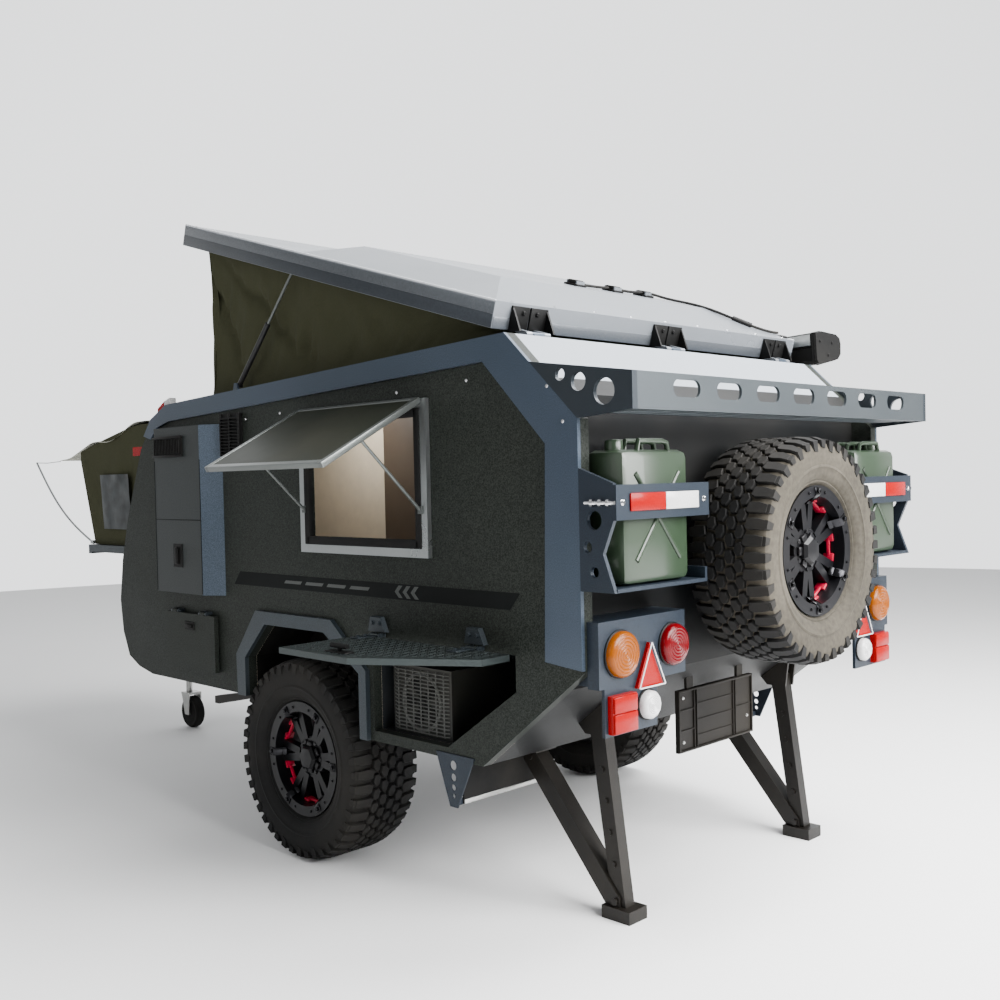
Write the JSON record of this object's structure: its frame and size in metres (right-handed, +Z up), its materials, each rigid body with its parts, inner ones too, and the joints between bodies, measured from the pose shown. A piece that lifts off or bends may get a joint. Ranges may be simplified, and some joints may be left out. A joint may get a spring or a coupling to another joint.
{
  "type": "off-road camper trailer",
  "caption": "Off-road camper trailer with a rear-hinged raising roof over canvas, a fold-out front bed and tent, side lockers, spare wheel, can racks and stabiliser legs.",
  "frame": {"origin": "mouth of the coupling's pin hole, on the trailer's middle plane", "axes": "+X forwards along the drawbar, +Y left, +Z up"},
  "size_m": [5.116, 2.7015, 2.7828],
  "materials": {
    "black_steel": "satin",
    "floor": "matt",
    "body_paint": "fine textured satin",
    "frame_paint": "metallic grained",
    "roof_paint": "metallic grained",
    "trim": "grained",
    "well": "matt",
    "liner": "satin",
    "silver": "satin",
    "sash": "tinted acrylic",
    "steel": "bare",
    "can_green": "gloss",
    "amber": "lens",
    "red": "lens",
    "clear": "lens",
    "plastic": "matt",
    "leg_steel": "worn",
    "rubber": "matt",
    "tyre": "matt",
    "rim": "gloss black",
    "wood": "laminate",
    "canvas": "woven"
  },
  "bodies": {
    "trailer": {"floor_panel": "floor", "rails": "black_steel", "drawbar": "black_steel", "coupling": "black_steel", "wall_left": "body_paint", "wall_right": "body_paint", "rear_shell": "frame_paint", "nose_shell": "body_paint", "deck": "frame_paint", "side_frames": "frame_paint", "arch_trims": "trim", "wheel_wells": "well", "locker_liners": "liner", "condenser": "silver", "lid_hinges": "trim", "window_frame": "silver", "window_sash": "sash", "window_stays": "steel", "service_pod": "body_paint", "vents": "plastic", "front_locker": "liner", "rear_rack": "frame_paint", "can_holders": "trim", "jerry_cans": "can_green", "can_bars": "trim", "light_boxes": "frame_paint", "amber_lamps": "amber", "red_lamps": "red", "white_lamps": "clear", "plate_holder": "plastic", "stabiliser_legs": "leg_steel", "mud_flaps": "rubber", "flap_gussets": "silver", "trailing_arms": "black_steel", "spare_carrier": "black_steel", "spare_tyre": "tyre", "spare_rim": "rim", "cabinet": "wood", "roof_canvas": "canvas", "tent": "canvas", "tent_rods": "steel", "jockey_post": "steel", "awning_case": "plastic"},
    "wheel_left": {"tyre_left": "tyre", "rim_left": "rim"},
    "wheel_right": {"tyre_right": "tyre", "rim_right": "rim"},
    "jockey_swivel": {"jockey_fork": "steel"},
    "jockey_roller": {"jockey_wheel": "rubber"},
    "roof": {"roof_lid": "roof_paint"},
    "barrel_left": {"strut_barrel_left": "black_steel"},
    "rod_left": {"strut_rod_left": "steel"},
    "barrel_right": {"strut_barrel_right": "black_steel"},
    "rod_right": {"strut_rod_right": "steel"},
    "left_lid": {"hatch_left": "body_paint"},
    "right_lid": {"hatch_right": "body_paint"},
    "door": {"entry_door": "body_paint"},
    "locker_flap": {"locker_door": "body_paint"},
    "bed": {"bed_platform": "trim"}
  },
  "joints": [
    {"name": "wheel_left_spin", "type": "hinge", "parent": "trailer", "child": "wheel_left", "pos_m": [-3.205, 0.87, -0.114], "axis": [0, 1, 0], "continuous": true},
    {"name": "wheel_right_spin", "type": "hinge", "parent": "trailer", "child": "wheel_right", "pos_m": [-3.205, -0.87, -0.114], "axis": [0, 1, 0], "continuous": true},
    {"name": "jockey_turn", "type": "hinge", "parent": "trailer", "child": "jockey_swivel", "pos_m": [-0.506, 0, -0.229], "axis": [0, 0, 1], "continuous": true},
    {"name": "jockey_spin", "type": "hinge", "parent": "jockey_swivel", "child": "jockey_roller", "pos_m": [-0.546, 0, -0.429], "axis": [0, 1, 0], "continuous": true},
    {"name": "roof_tilt", "type": "hinge", "parent": "trailer", "child": "roof", "pos_m": [-4.41, 0, 1.53059], "axis": [0, 1, 0], "range_deg": [0, 19.22], "deforming": ["roof_canvas"]},
    {"name": "left_lid_hinge", "type": "hinge", "parent": "trailer", "child": "left_lid", "pos_m": [-4.06, 1.015, 0.446], "axis": [-1, 0, 0], "range_deg": [0, 90]},
    {"name": "right_lid_hinge", "type": "hinge", "parent": "trailer", "child": "right_lid", "pos_m": [-4.06, -1.015, 0.446], "axis": [-1, 0, 0], "range_deg": [0, 90]},
    {"name": "door_hinge", "type": "hinge", "parent": "trailer", "child": "door", "pos_m": [-2.123, -0.997, 0.671], "axis": [0, 0, 1], "range_deg": [0, 110]},
    {"name": "locker_hinge", "type": "hinge", "parent": "trailer", "child": "locker_flap", "pos_m": [-2.36, 1.015, 0.441], "axis": [1, 0, 0], "range_deg": [0, 95]},
    {"name": "bed_fold", "type": "hinge", "parent": "trailer", "child": "bed", "pos_m": [-1.63, 0, 0.691], "axis": [0, -1, 0], "range_deg": [0, 117], "deforming": ["tent", "tent_rods"]},
    {"name": "strut_left_swing", "type": "hinge", "parent": "trailer", "child": "barrel_left", "pos_m": [-2.665, 0.912, 1.47887], "axis": [0, 1, 0], "range_deg": [-42.22, 0.1]},
    {"name": "strut_left_slide", "type": "slide", "parent": "barrel_left", "child": "rod_left", "axis": [-0.6986, 0, 0.7155], "range_m": [-0.2686, 0.001]},
    {"name": "strut_right_swing", "type": "hinge", "parent": "trailer", "child": "barrel_right", "pos_m": [-2.665, -0.912, 1.47887], "axis": [0, 1, 0], "range_deg": [-42.22, 0.1]},
    {"name": "strut_right_slide", "type": "slide", "parent": "barrel_right", "child": "rod_right", "axis": [-0.6986, 0, 0.7155], "range_m": [-0.2686, 0.001]}
  ],
  "couplings": [
    {"joint": "strut_left_swing", "follows": "roof_tilt", "ratio": -2.1707},
    {"joint": "strut_left_slide", "follows": "roof_tilt", "m_per_rad": -0.79189},
    {"joint": "strut_right_swing", "follows": "roof_tilt", "ratio": -2.1707},
    {"joint": "strut_right_slide", "follows": "roof_tilt", "m_per_rad": -0.79189}
  ]
}
